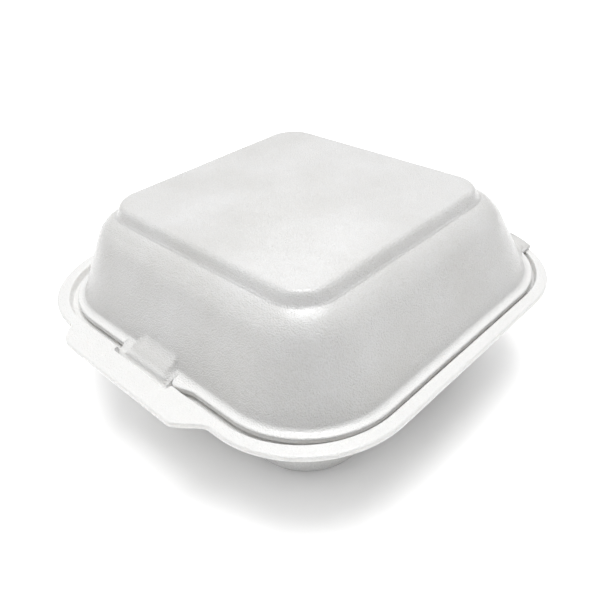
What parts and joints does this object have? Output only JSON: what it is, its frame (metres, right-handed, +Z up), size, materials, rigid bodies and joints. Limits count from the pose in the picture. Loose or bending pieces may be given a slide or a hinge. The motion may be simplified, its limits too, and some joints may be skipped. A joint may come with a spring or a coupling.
{
  "type": "foam clamshell container",
  "caption": "Square hinged foam takeaway box, shut: tapered tray with a recessed rim and a slotted front tab, and a domed lid with a raised top panel and a closing tongue.",
  "frame": {"origin": "centre of the tray's flat foot, on the surface the container stands on", "axes": "+Z up, +Y to the hinge, -Y to the front tab, X along the hinge"},
  "size_m": [0.152, 0.153, 0.0704],
  "materials": {
    "foam": "satin skin with a fine pebbled grain"
  },
  "bodies": {
    "tray": {"tray": "foam"},
    "lid": {"lid": "foam"}
  },
  "joints": [
    {"name": "lid_hinge", "type": "hinge", "parent": "tray", "child": "lid", "pos_m": [0, 0.0716, 0.03757], "axis": [-1, 0, 0], "range_deg": [0, 180]}
  ]
}
